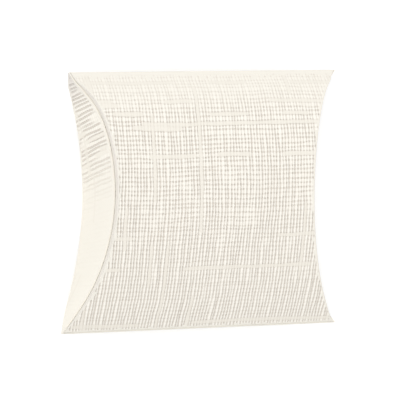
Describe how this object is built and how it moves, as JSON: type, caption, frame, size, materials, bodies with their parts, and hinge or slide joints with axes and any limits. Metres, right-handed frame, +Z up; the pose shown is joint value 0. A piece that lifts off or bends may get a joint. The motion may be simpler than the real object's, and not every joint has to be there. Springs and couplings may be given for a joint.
{
  "type": "pillow box",
  "caption": "Card pillow box: bowed panels glued along a straight crease, closed at each curved end by an outer flap with an inner flap behind it.",
  "frame": {"origin": "on the table, at the bottom centre of the box, which lies on its bowed back panel", "axes": "+X from the left to the right curved end, +Y across the box from the glued straight crease to the plain one, +Z up through the front panel"},
  "size_m": [0.1168, 0.0994, 0.0304],
  "materials": {
    "card": "matte, embossed with a linen weave",
    "adhesive": "dried glue"
  },
  "bodies": {
    "sleeve": {"front_panel": "card", "back_panel": "card", "glue_tab": "card", "adhesive_strip": "adhesive"},
    "left_outer": {"left_outer_flap": "card"},
    "left_inner": {"left_inner_flap": "card"},
    "right_outer": {"right_outer_flap": "card"},
    "right_inner": {"right_inner_flap": "card"}
  },
  "joints": [
    {"name": "left_outer_fold", "type": "hinge", "parent": "sleeve", "child": "left_outer", "pos_m": [-0.0438, 0, 0], "axis": [0, -1, 0], "range_deg": [0, 90]},
    {"name": "left_inner_fold", "type": "hinge", "parent": "sleeve", "child": "left_inner", "pos_m": [-0.04315, 0, 0.0304], "axis": [0, 1, 0], "range_deg": [0, 90]},
    {"name": "right_outer_fold", "type": "hinge", "parent": "sleeve", "child": "right_outer", "pos_m": [0.0438, 0, 0], "axis": [0, 1, 0], "range_deg": [0, 90]},
    {"name": "right_inner_fold", "type": "hinge", "parent": "sleeve", "child": "right_inner", "pos_m": [0.04315, 0, 0.0304], "axis": [0, -1, 0], "range_deg": [0, 90]}
  ],
  "couplings": [
    {"joint": "left_inner_fold", "follows": "left_outer_fold", "ratio": 1},
    {"joint": "right_inner_fold", "follows": "right_outer_fold", "ratio": 1}
  ]
}
